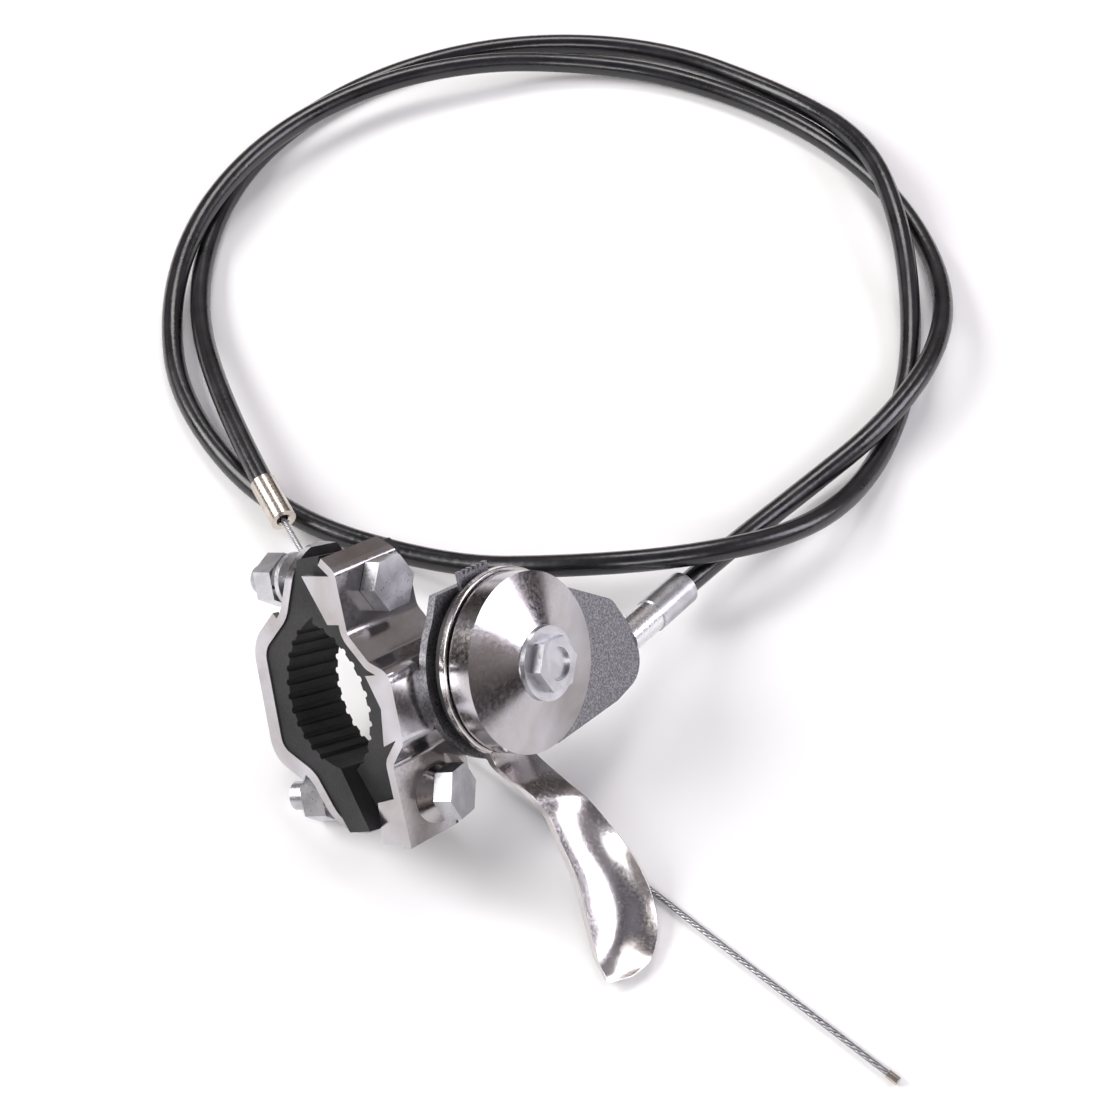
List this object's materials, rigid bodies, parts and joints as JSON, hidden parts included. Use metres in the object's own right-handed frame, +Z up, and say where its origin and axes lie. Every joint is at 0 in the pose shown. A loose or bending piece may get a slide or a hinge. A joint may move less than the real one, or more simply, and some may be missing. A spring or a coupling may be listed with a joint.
{
  "type": "thumb gear shifter",
  "caption": "Handlebar thumb shifter: a chromed clamp with ribbed rubber liners, a domed pivot with a swinging thumb lever, and a cable casing with its inner wire.",
  "frame": {"origin": "on the ground under the middle of the clamp, head and lever, where the shifter lies on its lower nut and its lever, without the casing and the wire", "axes": "+Z up off the ground the shifter lies on; X and Y level, with the handlebar bore running up and forward across them and the casing leaving towards +X +Y"},
  "size_m": [0.192, 0.3006, 0.0566],
  "materials": {
    "zinc": "bright zinc plating",
    "dark_steel": "dark sprung steel",
    "chrome": "pressed sheet, polished and chromed",
    "rubber": "matt, ribbed on the bore",
    "arm_steel": "fine grainy plating",
    "black_plastic": "black",
    "aluminium": "turned",
    "casing_black": "half gloss over ribbed wire",
    "nickel": "warm nickel plating",
    "wire_steel": "fine twisted strands"
  },
  "bodies": {
    "clamp_and_head": {"clamp_bolts": "zinc", "flat_washers": "zinc", "spring_washers": "dark_steel", "clamp_nuts": "zinc", "front_bracket": "chrome", "rubber_liner_front": "rubber", "rubber_liner_rear": "rubber", "rear_strap": "chrome", "pivot_stud": "zinc", "base_plate": "arm_steel", "index_plate": "arm_steel", "friction_disc": "black_plastic", "pivot_bush": "black_plastic", "cone_washer": "zinc", "dome_cap": "chrome", "pivot_screw": "zinc", "cable_arm": "arm_steel", "cable_stop_sleeve": "aluminium", "crimped_ferrule": "zinc", "casing": "casing_black", "end_ferrule": "nickel"},
    "lever": {"thumb_lever": "chrome", "cable_drum": "black_plastic", "cable_nipple": "zinc"},
    "wire": {"inner_wire": "wire_steel", "wire_tip": "nickel"}
  },
  "joints": [
    {"name": "lever_pivot", "type": "hinge", "parent": "clamp_and_head", "child": "lever", "pos_m": [0.00589, 0.00953, 0.03197], "axis": [-0.7536, 0.4047, -0.518], "range_deg": [0, 75]},
    {"name": "wire_slide", "type": "slide", "parent": "clamp_and_head", "child": "wire", "axis": [-0.4539, 0.891, -0.0056], "range_m": [0, 0.0166]}
  ],
  "couplings": [
    {"joint": "wire_slide", "follows": "lever_pivot", "m_per_rad": 0.0126}
  ]
}
